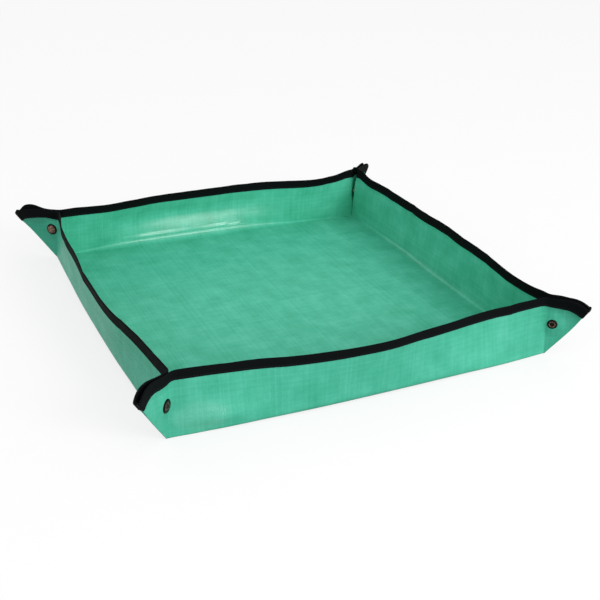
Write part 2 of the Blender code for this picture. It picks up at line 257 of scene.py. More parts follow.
# %% Coated tarp
TAPE_PITCH = 2.5 * MM
WEAVE_RELIEF = 0.16 * MM
DENT_SIZE = 24 * MM
DENT_RELIEF = 0.8 * MM
GLINT_SIZE = 1.9 * MM
GLINT_RELIEF = 0.3 * MM
COAT_SIZE = 34 * MM
DULL_COAT = 0.62
GLOSSY_DOTS = 0.22
POLISHED_COAT = 0.24
PILLOW_POWER = 0.45
OTHER_TAPES = 1000.0
CROSS_TAPE_SHARE = 0.4
TAPE_TONE_SHARE = 0.17
FILM_IOR = 1.5
FILM_SPECULAR = 0.14
# where the folded mat rubbed in its pack: middle and half size of each patch on the flat sheet, mm
POLISHED = ((-45, 296, 240, 56), (-222, -282, 42, 24), (264, 0, 9, 210), (215, 290, 70, 30))
COATED_GREEN = "4EBE9E"
PALE_TAPE = "60CCAF"
DEEP_TAPE = "3EAF8C"


def woven_tapes(tree, spot):
    """Nodes for a plain weave of flat tapes: its height and each tape's own tone, from 0 to 1."""
    scaled = add_node(tree, "VectorMath", {"operation": "SCALE"}, {"Scale": 1 / TAPE_PITCH},
                      {"Vector": spot})
    split = add_node(tree, "SeparateXYZ", links={"Vector": scaled})
    pillows, tones = [], []
    for axis, shift in (("X", 0.0), ("Y", OTHER_TAPES)):
        angle = add_node(tree, "Math", {"operation": "MULTIPLY"}, {1: math.pi},
                         {0: split.outputs[axis]})
        wave = add_node(tree, "Math", {"operation": "SINE"}, links={0: angle})
        size = add_node(tree, "Math", {"operation": "ABSOLUTE"}, links={0: wave})
        pillows.append(add_node(tree, "Math", {"operation": "POWER"}, {1: PILLOW_POWER},
                                {0: size}))
        moved = add_node(tree, "Math", {"operation": "ADD"}, {1: shift},
                         {0: split.outputs[axis]})
        number = add_node(tree, "Math", {"operation": "FLOOR"}, links={0: moved})
        tones.append(add_node(tree, "TexWhiteNoise", {"noise_dimensions": "1D"},
                              links={"W": number}))
    over = add_node(tree, "TexChecker", sockets={"Scale": 1.0}, links={"Vector": scaled})
    height = add_node(tree, "Mix", {"data_type": "FLOAT"},
                      links={"Factor": over.outputs["Fac"], "A": pillows[0], "B": pillows[1]})
    tone = add_node(tree, "Mix", {"data_type": "FLOAT"}, {"Factor": CROSS_TAPE_SHARE},
                    {"A": tones[0], "B": tones[1]})
    return height.outputs["Result"], tone.outputs["Result"]


def polish(tree, spot):
    """Nodes for how far the coat is polished, 0 to 1: soft-edged patches, the strongest wins."""
    share = None
    for x, y, width, height in POLISHED:
        away = add_node(tree, "VectorMath", {"operation": "SUBTRACT"},
                        {1: (x * MM, y * MM, 0)}, {0: spot})
        scaled = add_node(tree, "VectorMath", {"operation": "DIVIDE"},
                          {1: (width * MM, height * MM, 1)}, {0: away})
        reach = add_node(tree, "VectorMath", {"operation": "LENGTH"}, links={0: scaled})
        patch = add_node(tree, "MapRange", {"interpolation_type": "SMOOTHSTEP"},
                         {"From Min": 1.0, "From Max": 0.5}, {"Value": reach.outputs["Value"]})
        share = patch if share is None else add_node(
            tree, "Math", {"operation": "MAXIMUM"}, links={0: share, 1: patch})
    return share


def coated_tarp():
    """Polyethylene cloth, woven from flat tapes and coated: glossy, with a fine grid under it."""
    finish, tree, shader = new_finish("woven_polyethylene_tarp")
    spot = add_node(tree, "UVMap", {"uv_map": "flat_cloth"})
    height, tone = woven_tapes(tree, spot)
    coat, dents, grain = [
        add_node(tree, "TexNoise", sockets={"Scale": 1 / size, "Detail": detail,
                                            "Roughness": roughness}, links={"Vector": spot})
        for size, detail, roughness in ((COAT_SIZE, 5.0, 0.6), (DENT_SIZE, 4.0, 0.6),
                                        (GLINT_SIZE, 2.0, 0.5))]
    mixed = add_node(tree, "Mix", {"data_type": "FLOAT"}, {"Factor": TAPE_TONE_SHARE},
                     {"A": coat, "B": tone})
    shade = add_node(tree, "ValToRGB", links={"Fac": mixed.outputs["Result"]})
    ramp = shade.color_ramp.elements
    ramp[0].position, ramp[1].position = 0.25, 0.75
    ramp[0].color, ramp[1].color = linear(DEEP_TAPE), linear(PALE_TAPE)
    ramp.new(0.5).color = linear(COATED_GREEN)
    dull = add_node(tree, "MapRange", sockets={"From Min": 0.4, "From Max": 0.68,
                                               "To Min": DULL_COAT, "To Max": GLOSSY_DOTS},
                    links={"Value": grain})
    wide = add_node(tree, "Bump", sockets={"Strength": 0.6, "Distance": DENT_RELIEF},
                    links={"Height": dents})
    fine = add_node(tree, "Bump", sockets={"Strength": 0.5, "Distance": WEAVE_RELIEF},
                    links={"Height": height, "Normal": wide})
    glint = add_node(tree, "Bump", sockets={"Strength": 0.6, "Distance": GLINT_RELIEF},
                     links={"Height": grain, "Normal": fine})
    set_node(tree, shader, {"Coat Roughness": POLISHED_COAT, "IOR": FILM_IOR,
                            "Specular IOR Level": FILM_SPECULAR},
             {"Base Color": shade, "Roughness": dull, "Coat Weight": polish(tree, spot),
              "Normal": glint, "Coat Normal": glint})
    return finish


TARP = coated_tarp()
print("weave pitch", round(TAPE_PITCH / MM, 2), "mm")

# %% [markdown]
# The edging is a black polypropylene binding tape, woven with a fine rib across its width, and
# sewn down near its inner edge with one row of lock stitches. Its UV map runs along the tape in
# one direction and down from the rim in the other, so ribs and stitches are cut from the same
# two numbers. A lighter grey band is painted along the tape's inner edge: a painted highlight
# for the light that its pressed edge catches.

# %% Binding tape
TAPE_WIDTH = 12.4 * MM
RIB_PITCH = 1.3 * MM
RIB_RELIEF = 0.16 * MM
STITCH_PITCH = 4.2 * MM
STITCH_DOWN = 10.4 * MM
STITCH_WIDTH = 0.9 * MM
STITCH_SINK = 0.5 * MM
# width of the painted highlight band along the tape's inner edge
EDGE_HIGHLIGHT_WIDTH = 0.8 * MM
TAPE_SPECULAR = 0.04
TAPE_BLACK = "0C0F10"
THREAD_GREY = "1C2022"
# colour of the painted highlight along the tape's inner edge
EDGE_HIGHLIGHT_GREY = "262C2C"


def binding_tape():
    """Polypropylene ribbon: matt black with a soft sheen, ribbed, with a row of stitches."""
    finish, tree, shader = new_finish("woven_polypropylene_tape")
    spot = add_node(tree, "UVMap", {"uv_map": "flat_cloth"})
    split = add_node(tree, "SeparateXYZ", links={"Vector": spot})
    down = split.outputs["Y"]
    waves = []
    for pitch in (RIB_PITCH, STITCH_PITCH):
        angle = add_node(tree, "Math", {"operation": "MULTIPLY"}, {1: math.tau / pitch},
                         {0: split.outputs["X"]})
        waves.append(add_node(tree, "Math", {"operation": "SINE"}, links={0: angle}))
    rib, beat = waves
    fuzz = add_node(tree, "TexNoise", sockets={"Scale": 1 / RIB_PITCH, "Detail": 3.0},
                    links={"Vector": spot})
    dash = add_node(tree, "MapRange", {"interpolation_type": "SMOOTHSTEP"},
                    {"From Min": -0.75, "From Max": -0.35}, {"Value": beat})
    off_line = add_node(tree, "Math", {"operation": "SUBTRACT"}, {1: STITCH_DOWN}, {0: down})
    off_line = add_node(tree, "Math", {"operation": "ABSOLUTE"}, links={0: off_line})
    line = add_node(tree, "MapRange", {"interpolation_type": "SMOOTHSTEP"},
                    {"From Min": STITCH_WIDTH, "From Max": STITCH_WIDTH / 3}, {"Value": off_line})
    stitch = add_node(tree, "Math", {"operation": "MULTIPLY"}, links={0: dash, 1: line})
    # painted highlight: a lighter grey band along the tape's inner edge, for the light its pressed
    # edge catches
    edge = add_node(tree, "MapRange", {"interpolation_type": "SMOOTHSTEP"},
                    {"From Min": TAPE_WIDTH - EDGE_HIGHLIGHT_WIDTH, "From Max": TAPE_WIDTH, "To Max": 0.6},
                    {"Value": down})
    highlighted_edge = add_node(tree, "Mix", {"data_type": "RGBA"}, {"A": linear(TAPE_BLACK),
                                                         "B": linear(EDGE_HIGHLIGHT_GREY)},
                    {"Factor": edge})
    sewn = add_node(tree, "Mix", {"data_type": "RGBA"}, {"B": linear(THREAD_GREY)},
                    {"Factor": stitch, "A": highlighted_edge.outputs["Result"]})
    rough = add_node(tree, "MapRange", sockets={"To Min": 0.65, "To Max": 0.9},
                     links={"Value": fuzz})
    ribs = add_node(tree, "Bump", sockets={"Strength": 0.5, "Distance": RIB_RELIEF},
                    links={"Height": rib})
    loose = add_node(tree, "Bump", sockets={"Strength": 0.4, "Distance": RIB_RELIEF},
                     links={"Height": fuzz, "Normal": ribs})
    pulled_in = add_node(tree, "Bump", sockets={"Strength": 0.7, "Distance": STITCH_SINK},
                         links={"Height": stitch, "Normal": loose})
    set_node(tree, shader, {"Specular IOR Level": TAPE_SPECULAR},
             {"Base Color": sewn.outputs["Result"], "Roughness": rough, "Normal": pulled_in})
    return finish


TAPE = binding_tape()
print("stitches per metre", round(1 / STITCH_PITCH))

# %% [markdown]
# The snap fasteners are stamped brass with an antique finish: the metal is darkened chemically
# and then tumbled, so the high spots are rubbed back to a warm copper brown and the hollows
# stay nearly black. A noise that reads the object's own coordinates mixes the two tones, and an
# Ambient Occlusion node darkens the metal wherever other surfaces are near: partly the black
# that stays in the hollows, partly painted shade where the metal meets the cloth. The ring
# inside the socket is bright spring wire.

# %% Antique brass and spring wire
PATINA_SIZE = 1.6 * MM
RUBBED_BRASS = "8A7463"
DARK_PATINA = "3A2F28"
HOLLOW_PATINA_AND_SHADE = "14110F"
# the dark rims' tone: partly blackened metal, partly painted shadow round the fastener
BLACKENED_RIM_AND_SHADOW = "26201D"
HOLLOW_SIZE = 2.4 * MM
SPRING_GREY = "B9BABC"


def antique_brass(name, rubbed, dark):
    """Stamped brass, darkened and rubbed back: warm metal with dark, rougher patches."""
    finish, tree, shader = new_finish(name)
    place = add_node(tree, "TexCoord").outputs["Object"]
    patina = add_node(tree, "TexNoise", sockets={"Scale": 1 / PATINA_SIZE, "Detail": 4.0},
                      links={"Vector": place})
    share = add_node(tree, "MapRange", {"interpolation_type": "SMOOTHSTEP"},
                     {"From Min": 0.4, "From Max": 0.58}, {"Value": patina})
    tone = add_node(tree, "Mix", {"data_type": "RGBA"}, {"A": linear(rubbed), "B": linear(dark)},
                    {"Factor": share})
    # painted shade and patina: occlusion darkens the hollows and the metal's edges next to the
    # cloth towards near-black
    hollow = add_node(tree, "AmbientOcclusion", {"samples": 8}, {"Distance": HOLLOW_SIZE})
    open_share = add_node(tree, "MapRange", sockets={"From Min": 0.45, "From Max": 0.95},
                          links={"Value": hollow.outputs["AO"]})
    aged_and_shaded = add_node(tree, "Mix", {"data_type": "RGBA"}, {"A": linear(HOLLOW_PATINA_AND_SHADE)},
                    {"Factor": open_share, "B": tone.outputs["Result"]})
    rough = add_node(tree, "MapRange", sockets={"To Min": 0.24, "To Max": 0.5},
                     links={"Value": patina})
    set_node(tree, shader, {"Metallic": 1.0},
             {"Base Color": aged_and_shaded.outputs["Result"], "Roughness": rough})
    return finish


def spring_wire():
    """Drawn steel wire: bright metal with faint marks along the drawing."""
    finish, tree, shader = new_finish("drawn_spring_steel")
    place = add_node(tree, "TexCoord").outputs["Object"]
    marks = add_node(tree, "TexNoise", sockets={"Scale": 1 / PATINA_SIZE, "Detail": 5.0},
                     links={"Vector": place})
    rough = add_node(tree, "MapRange", sockets={"To Min": 0.2, "To Max": 0.38},
                     links={"Value": marks})
    set_node(tree, shader, {"Base Color": linear(SPRING_GREY), "Metallic": 1.0},
             {"Roughness": rough})
    return finish


BRASS = antique_brass("antique_brass", RUBBED_BRASS, DARK_PATINA)
BLACKENED_BRASS_AND_SHADOW = antique_brass("blackened_brass_and_painted_shadow", BLACKENED_RIM_AND_SHADOW, HOLLOW_PATINA_AND_SHADE)
SPRING = spring_wire()

# %% [markdown]
# Now the cloth. A wall is described in a frame of its own: X along its foot, Y outwards, Z up.
# The same frame, turned by a quarter each time, serves all four, and the corner of the base
# lies at plus or minus half the base's side. On the real mat no wall is straight: the pinched
# corners pull its ends in, and its middle bows out, at the foot as well as at the rim. Seven
# numbers give how far the foot line stands out, and seven more the rim.

# %% The walls' sizes and bows
BASE_HALF = 260 * MM
WALL = 80 * MM
CORNER_RADIUS = 50 * MM
LEAN_IN = math.radians(5)
SHEET = 0.4 * MM
SKEW = math.atan(math.sin(LEAN_IN))
TILT = math.acos(math.cos(SKEW) * math.cos(LEAN_IN))
SHARP_RADIUS = 0.8 * MM

# turn about Z, neighbour at +X, neighbour at -X, foot line and rim in mm from the -X end
WALLS = {
    "back": (0, "right", "left", (0, 5.5, 6, 6, 6, 3.5, 0), (-7, -9.6, -1, 2.5, 8.5, -7.6, -7)),
    "left": (90, "back", "front", (0, 3, 6, 7, 7, 4, 0), (-7, 1.8, 13.3, 15, 10.5, 7.7, -7)),
    "front": (180, "left", "right", (0, 7, 9, 10, 10, 7, 0), (-7, -14, 0.5, 11, 4, -11, -7)),
    "right": (270, "front", "back", (0, 2, 4, 0, -1, -1, 0),
              (-7, 10.8, 10.4, 5.3, -0.4, -8.6, -7)),
}
# the radius of the bend at each foot, in mm, evenly spaced from the -X end
BEND_RADII = {"back": (10, 14, 14, 14, 9, 3, 3), "left": (9, 9), "front": (7, 7),
              "right": (5, 5)}
STUD_WALLS = ("front", "back")


def through(values, share):
    """A smooth curve through evenly spaced values, with share from 0 to 1 along them."""
    spot = min(max(share, 0.0), 1.0) * (len(values) - 1)
    first = min(int(spot), len(values) - 2)
    t = spot - first
    a = values[max(first - 1, 0)]
    b, c = values[first], values[first + 1]
    d = values[min(first + 2, len(values) - 1)]
    return b + t * (c - a + t * (2 * a - 5 * b + 4 * c - d + t * (3 * (b - c) + d - a))) / 2


def smooth(share):
    """Rise softly from 0 to 1 as the share does."""
    held = min(max(share, 0.0), 1.0)
    return held * held * (3 - 2 * held)


print("skew of the pinch line", round(math.degrees(SKEW), 2), "degrees")

# %% [markdown]
# One function gives every point of a wall. Its section is a small piece of geometry: flat on
# the ground up to the foot line, a soft bend, then a nearly straight run up to the rim. The
# sheet can't stretch, so cloth that lies on the ground is missing at the top, and the rim's
# height follows from the length that is left. Low noise, a few named creases, where the mat was
# once folded, and soft bulges are added outwards.

# %% A point on a wall
CREASES = {
    "front": ((-200, 2.2, 16), (-60, -1.0, 22), (120, 0.9, 20)),
    "right": ((-195, 1.4, 12), (-150, -1.6, 14), (-92, 2.2, 12), (-40, -1.2, 16), (15, 1.2, 14),
              (60, -1.4, 16), (120, 1.3, 14), (175, -1.0, 14)),
    "back": ((60, -1.2, 16), (150, 1.0, 14), (205, 1.8, 12), (228, -1.2, 10), (-110, 0.8, 24)),
    "left": ((30, 1.4, 22), (-120, -1.2, 20), (160, -1.0, 18)),
}
# a wall's soft bulges: place along it, height, half width, half height and depth, all in mm
BULGES = {
    "front": ((208, 14, 45, 16, 3.5),),
    "back": ((-45, 42, 150, 21, 10), (212, 52, 45, 26, 4)),
    "left": (),
    "right": (),
}
CREASE_RISE = 45 * MM
RIPPLE = 1.3 * MM
RIPPLE_SIZE = 75 * MM
FOOT_CALM = 20 * MM
# shares of a wall's length, from each end, over which its bend opens and its ripples rise
OPENING_SHARE = 0.25
CALM_SHARE = 0.12
# the bend's curve and what it saves against a square corner, in radii
BEND_LENGTH = 1.62
BEND_SAVING = 0.38


def foot_line(wall, x):
    """How far the foot's corner stands out, and the radius of the bend there."""
    share = (x / BASE_HALF + 1) / 2
    swell = smooth(min(share, 1 - share) / OPENING_SHARE)
    radius = SHARP_RADIUS + (through(BEND_RADII[wall], share) * MM - SHARP_RADIUS) * swell
    return through(WALLS[wall][3], share) * MM, radius


def ripple(wall, x, height):
    """Small outward bumps and creases of the cloth, none at the foot line or the wall's ends."""
    turn = WALLS[wall][0]
    share = (x / BASE_HALF + 1) / 2
    calm = smooth(min(share, 1 - share) / CALM_SHARE) * smooth(height / FOOT_CALM)
    bump = noise.noise(Vector((x, height * 0.5, turn)) / RIPPLE_SIZE) * RIPPLE
    for place, depth, width in CREASES[wall]:
        away = abs(x - place * MM) / (width * MM)
        bump += depth * MM * math.exp(-away) * smooth(height / CREASE_RISE)
    for place, rise, width, tall, depth in BULGES[wall]:
        away = ((x / MM - place) / width) ** 2 + ((height / MM - rise) / tall) ** 2
        bump += depth * MM * math.exp(-away)
    return bump * calm


def wall_point(wall, x, out):
    """The point of a wall whose place on the flat sheet is (x, out), out from the base's edge."""
    foot, radius = foot_line(wall, x)
    share = (x / BASE_HALF + 1) / 2
    rim_out = through(WALLS[wall][4], share) * MM
    length = WALL - foot + BEND_SAVING * radius
    rim_up = math.sqrt(length ** 2 - (rim_out - foot) ** 2)
    slope = Vector((0, rim_out - foot, rim_up)) / length
    bend_length = BEND_LENGTH * radius
    travel = (out - foot + radius) / (WALL - foot + radius) * (bend_length + length - radius)
    if travel < bend_length:
        t = travel / bend_length
        y = foot - radius * (1 - t) ** 2 + slope.y * radius * t * t
        z = slope.z * radius * t * t
        return Vector((x, y, z + SHEET / 2))
    up = radius + travel - bend_length
    bump = ripple(wall, x, up)
    return Vector((x, foot, SHEET / 2)) + slope * up + Vector((0, bump, 0))


def seam_out(wall, x):
    """Where the wall's cloth takes over from the base's, in flat places."""
    foot, radius = foot_line(wall, x)
    return foot - radius


def turned_to(wall, way):
    """A vector of a wall's own frame, turned to where that wall stands."""
    return Matrix.Rotation(math.radians(WALLS[wall][0]), 3, "Z") @ way


def to_world(wall, point):
    return turned_to(wall, point + Vector((0, BASE_HALF, 0)))


def to_sheet(wall, x, out):
    """The place on the whole flat sheet, for the weave."""
    return turned_to(wall, Vector((x, BASE_HALF + out, 0))).xy


print("rim height mid front", round(wall_point("front", 0, WALL).z / MM, 1), "mm")

# %% [markdown]
# An ear is a corner of the sheet folded in half along its diagonal, and its halves lie against
# each other, except where the snap fastener's socket and stud hold them apart. On the flat
# corner a spot is u along the neighbour's side and v outwards. The ear's plane holds both,
# turned a little because the pinch line leans. No two corners of the real mat droop alike, so
# each ear is fanned about its foot by a few degrees, and each half's rim gapes by its own width.

# %% An ear's plane and its halves' gap
TAPE_GAP = 1.15 * MM
CLOSED_GAP = 0.35 * MM
SNAP_GAP = 2.1 * MM
SNAP_FLAT = 6.5 * MM
SNAP_SPREAD = 13 * MM
EAR_ANGLE = math.radians(50)
FAN_LIMIT = 1.2
# how far down from the rim the gap opens for the tape, and over what length, in tape widths
TAPED_FROM, TAPED_STEP = 1.4, 0.4
DROOPS = {"front_left": -4, "front_right": -9, "back_left": 4, "back_right": -4}
HALF_ROOT = math.sqrt(0.5)

snap_places = [sum(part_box("snap_eyelet_" + corner), Vector()) / 2 for corner in DROOPS]
snap_reach = (abs(snap_places[0].x) + abs(snap_places[0].y)) * HALF_ROOT - BASE_HALF / HALF_ROOT
snap_up = snap_places[0].z


def half_gap(reach, up, share):
    """Half the space between an ear's halves, by place in its plane and share of height."""
    from_snap = math.hypot(reach - snap_reach, up - snap_up)
    held = 1 - smooth((from_snap - SNAP_FLAT) / SNAP_SPREAD)
    taped = smooth((share - 1 + TAPED_FROM * TAPE_WIDTH / WALL)
                   / (TAPED_STEP * TAPE_WIDTH / WALL))
    closed = CLOSED_GAP + (TAPE_GAP - CLOSED_GAP) * taped
    return closed + (SNAP_GAP - closed) * held


def pinch_gap(height):
    """Half the space between the halves at the pinch line, a height up the slope."""
    return half_gap(-height * math.sin(TILT), height * math.cos(TILT), height / WALL)


def pinch_x(height):
    """Where the wall ends and its ear begins, a height up the slope."""
    return BASE_HALF - pinch_gap(height) / HALF_ROOT - height * math.tan(SKEW)


def half_of(wall, end):
    """The name of the half ear at one end of a wall, by the wall and its neighbour there."""
    return wall + "_" + WALLS[wall][1 if end > 0 else 2]


def corner_of(wall, end):
    """The corner's name, by its front or back wall first, at one end of a wall."""
    half = half_of(wall, end)
    return half if wall in STUD_WALLS else "_".join(reversed(half.split("_")))


def in_ear(corner, u, v):
    """The reach and height in the ear's plane of a spot of the flat corner, with its droop."""
    turn = SKEW - TILT
    reach = u * math.cos(turn) + v * math.sin(turn)
    up = v * math.cos(turn) - u * math.sin(turn)
    share = (math.atan2(reach, up) + TILT) / EAR_ANGLE
    fan = math.radians(DROOPS[corner]) * min(max(share, 0.0), FAN_LIMIT)
    return reach * math.cos(fan) + up * math.sin(fan), up * math.cos(fan) - reach * math.sin(fan)


def ear_plane(end, reach, up, aside):
    """A place in the ear's plane, aside from the upright plane that halves the corner."""
    return Vector((end * (BASE_HALF + HALF_ROOT * (reach - aside)), HALF_ROOT * (reach + aside),
                   up + SHEET / 2))


print("snap's reach and height", round(snap_reach / MM, 1), round(snap_up / MM, 1), "mm")

# %% [markdown]
# Each half leaves its wall at the pinch line with a bend that is sharp at the foot and soft at
# the rim, then runs side by side with the other half. The rim is straight at first and then
# goes round the sheet's round corner to the diagonal. There a quarter roll brings each half to
# the middle, so that they meet without a slit, and at the rim, where the folded tape is stiff,
# that roll is fuller, which makes the ear's tip blunt.

# %% A point on half an ear
PINCH_BEND = 7 * MM
ROLL_SHARE = 0.09
GAPES = {"front_left": 1, "left_front": 2, "front_right": 2, "right_front": 2,
         "back_left": 3, "left_back": 6, "back_right": 3, "right_back": 2}
GAPE_DEPTH = 32 * MM
GAPE_POWER = 0.8
BLUNT_FROM = 0.3
# each ear's tip: how wide half of it is, how much shorter it is cut, and over what length, in mm
TIPS = {"front_left": (2, 0, 14), "front_right": (4, 7.5, 56), "back_left": (4, 2, 14),
        "back_right": (4, 2, 14)}
RIM_LENGTH = WALL - CORNER_RADIUS + WALL * math.tan(SKEW) + CORNER_RADIUS * math.pi / 4


def ear_rim(travel):
    """The rim of the flat corner: straight first, then round the corner to the diagonal."""
    straight = RIM_LENGTH - CORNER_RADIUS * math.pi / 4
    middle = WALL - CORNER_RADIUS
    if travel <= straight:
        return middle - straight + travel, WALL
    turn = (travel - straight) / CORNER_RADIUS
    return middle + CORNER_RADIUS * math.sin(turn), middle + CORNER_RADIUS * math.cos(turn)


def ear_spot(corner, travel, share):
    """The flat spot at a travel along the rim, and a share of the way up from the foot."""
    u, v = ear_rim(max(travel, 0.0))
    gap = pinch_gap(share * WALL) / math.cos(SKEW)
    short, reach = TIPS[corner][1:]
    cut = 1 - short * MM * smooth(1 - (RIM_LENGTH - travel) / (reach * MM)) / math.hypot(u, v)
    u -= gap * (1 - min(max(travel, 0.0) / RIM_LENGTH, 1.0)) / share
    return u * share * cut, v * share * cut


def ear_aside(wall, end, travel, share):
    """How far half an ear stands from the middle: held by the snap, gaping at the rim."""
    corner = corner_of(wall, end)
    reach, up = in_ear(corner, *ear_spot(corner, travel, share))
    along = min(max(travel / RIM_LENGTH, 0.0), 1.0)
    rise = smooth((share - 1) * WALL / GAPE_DEPTH + 1)
    gape = GAPES[half_of(wall, end)] * math.sin(math.pi * along) ** GAPE_POWER
    blunt = TIPS[corner][0] * smooth((along - BLUNT_FROM) / (1 - BLUNT_FROM))
    return half_gap(reach, up, share) + (gape + blunt) * MM * rise


def ear_point(wall, end, across, share):
    """A point of half an ear, across from the wall to the fold and up from foot to rim."""
    corner = corner_of(wall, end)
    if across > 1 - ROLL_SHARE:
        turn = (across - 1 + ROLL_SHARE) / ROLL_SHARE * math.pi / 2
        half = ear_aside(wall, end, RIM_LENGTH, share)
        u, v = ear_spot(corner, RIM_LENGTH, share)
        reach, up = in_ear(corner, u, v)
        push = half * math.sin(turn) / 2
        fold = math.hypot(reach, up)
        place = ear_plane(end, reach + push * reach / fold, up + push * up / fold,
                          half * math.cos(turn))
        return place, (u, v)
    travel = across / (1 - ROLL_SHARE) * (RIM_LENGTH + PINCH_BEND) - PINCH_BEND
    if travel < PINCH_BEND:
        t = (travel / PINCH_BEND + 1) / 2
        out = WALL * share
        start = wall_point(wall, end * (pinch_x(out) - PINCH_BEND * share), out)
        middle = ear_plane(end, *in_ear(corner, *ear_spot(corner, 0, share)), pinch_gap(out))
        stop = ear_plane(end, *in_ear(corner, *ear_spot(corner, PINCH_BEND, share)),
                         ear_aside(wall, end, PINCH_BEND, share))
        place = start * (1 - t) ** 2 + middle * (2 * t * (1 - t)) + stop * t * t
        return place, (ear_spot(corner, 0, share)[0] + travel * share, out)
    spot = ear_spot(corner, travel, share)
    place = ear_plane(end, *in_ear(corner, *spot), ear_aside(wall, end, travel, share))
    return place, spot


print("rim of half an ear", round(RIM_LENGTH / MM, 1), "mm")

# %% [markdown]
# No formula gives the last few millimetres by which each corner of the real mat is skewed. At
# the end the cloth is pulled, as with proportional editing: a pull has a place, a direction
# and a reach, and its strength fades with distance. Round each snap fastener the cloth is held
# still, because the metal doesn't move.

# %% Pulls
# the wall whose cloth is pulled, or all of it, then place and pull in mm, and reach in mm
PULLS = (
    (None, (-288, -288, 80), (-3, 3, 5), 32),
    (None, (-305, -302, 68), (-1, 0, 4), 22),
    ("right", (256, -246, 80), (4, 0, 1), 26),
    ("right", (262, -254, 82), (2, 0, 1.5), 18),
    (None, (296, -294, 70), (-3, 2, 4), 22),
    ("left", (-288, 280, 80), (1, -1, -4), 30),
    ("left", (-290, 284, 70), (0, 0, -3), 22),
    ("left", (-256, 250, 72), (0, 0, -5), 20),
    ("back", (-268, 274, 80), (0, 0, -7), 30),
    (None, (-308, 306, 66), (1.5, -1.5, 0.5), 22),
    (None, (252, 252, 84), (5, 0, 0), 28),
    ("back", (248, 262, 80), (0, 9, 5), 28),
    ("back", (272, 284, 82), (0, -2, -4), 18),
    ("back", (294, 299, 80), (4, 0, 0), 20),
    ("right", (258, 248, 80), (3, 4, 4.5), 22),
    ("right", (262, 238, 82), (0, 0, 3), 24),
    (None, (300, 300, 72), (2, -2, 4), 26),
)
SNAP_HOLD = 15 * MM
GROUND_HOLD = 12 * MM


def pulled(wall, own_point):
    """Where a point of a wall's cloth comes to stand in the world, after the pulls."""
    point = to_world(wall, own_point)
    moved = point.copy()
    near = min((point - place).length for place in snap_places)
    free = 1 - math.exp(-(near / SNAP_HOLD) ** 2)
    grounded = smooth(point.z / GROUND_HOLD)
    for own, place, pull, reach in PULLS:
        if own in (None, wall):
            away = (point - Vector(place) * MM).length / (reach * MM)
            moved += Vector(pull) * MM * (math.exp(-away * away) * free * grounded)
    return moved


print("snaps at", [[round(v / MM, 1) for v in place] for place in snap_places])

# %% [markdown]
# One maker builds every piece of cloth. It starts from Blender's grid, sends each point where
# the surface function says, and writes the point's flat place into the UV map. Solidify gives
# the cloth its thickness afterwards, to both sides alike. Its thin cut edge would pull the
# shading of the last row of faces round the corner and draw a line where two pieces meet, so a
# Weighted Normal modifier lets the broad faces decide.

# %% Helper: form a sheet from a grid
EVEN_WEIGHT = 80


def formed_sheet(name, columns, rows, place, thickness, finish):
    """A grid sent to place(across, up), from 0 to 1, which gives a point and its flat spot."""
    bm = bmesh.new()
    bmesh.ops.create_grid(bm, x_segments=columns, y_segments=rows, size=1)
    flat = {}
    for vert in bm.verts:
        point, spot = place((vert.co.x + 1) / 2, (vert.co.y + 1) / 2)
        vert.co = point
        flat[vert.index] = spot
    unwrapped = bm.loops.layers.uv.new("flat_cloth")
    for face in bm.faces:
        for loop in face.loops:
            loop[unwrapped].uv = flat[loop.vert.index]
    made = mesh_piece(bm, name, finish)
    made.data.shade_smooth()
    solid = made.modifiers.new("cloth_thickness", "SOLIDIFY")
    solid.thickness = thickness
    solid.offset = 0.0
    even = made.modifiers.new("even_shading", "WEIGHTED_NORMAL")
    even.weight = EVEN_WEIGHT
    return made


# %% [markdown]
# The base is the sheet's bottom, flat on the ground, but never quite: cloth that was folded for
# sale keeps broad, very low waves. Its outline follows the four foot lines, so that its edges
# meet the walls' cloth before the bend begins, where a seam can't show.

# %% Base
BASE_STEPS = 120
WAVE = 1.1 * MM
WAVE_SIZE = 120 * MM
WAVE_LIFT = 0.5
# shares of the base's width, from its edge, over which it follows the foot line, and waves rise
EDGE_SHARE = 0.3
WAVE_RIM_SHARE = 0.08


def edge_shift(wall, along, own):
    """How far the cloth is drawn out to a wall's foot line, by its share of the way there."""
    return seam_out(wall, along) * smooth((own - 1) / EDGE_SHARE + 1)


def base_place(across, up):
    x, y = (2 * across - 1) * BASE_HALF, (2 * up - 1) * BASE_HALF
    x = x + edge_shift("right", -y, across) - edge_shift("left", y, 1 - across)
    y = y + edge_shift("back", x, up) - edge_shift("front", -x, 1 - up)
    rim = min(across, 1 - across, up, 1 - up)
    wave = WAVE * (noise.noise(Vector((x, y, 0)) / WAVE_SIZE) + WAVE_LIFT)
    wave *= smooth(rim / WAVE_RIM_SHARE)
    return Vector((x, y, SHEET / 2 + max(wave, 0.0))), (x, y)


base = formed_sheet("sheet_base", BASE_STEPS, BASE_STEPS, base_place, SHEET, TARP)
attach(base, "base")
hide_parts("tarp_base")
print("base", [round(v / MM) for v in base.dimensions])

# %% [markdown]
# Each wall's cloth is made in three pieces: a middle and two ends, cut a fixed distance either
# side of its middle. The middle's foot bows outside the joint's line, and the ends stand on
# that line and keep to the ears, which are stiff with the wall from the ground up.

# %% Walls
MIDDLE_COLUMNS, END_COLUMNS, WALL_ROWS = 160, 34, 44
CUT = 192 * MM
ROW_EASE = 0.35
SEAM_TRIES = 3


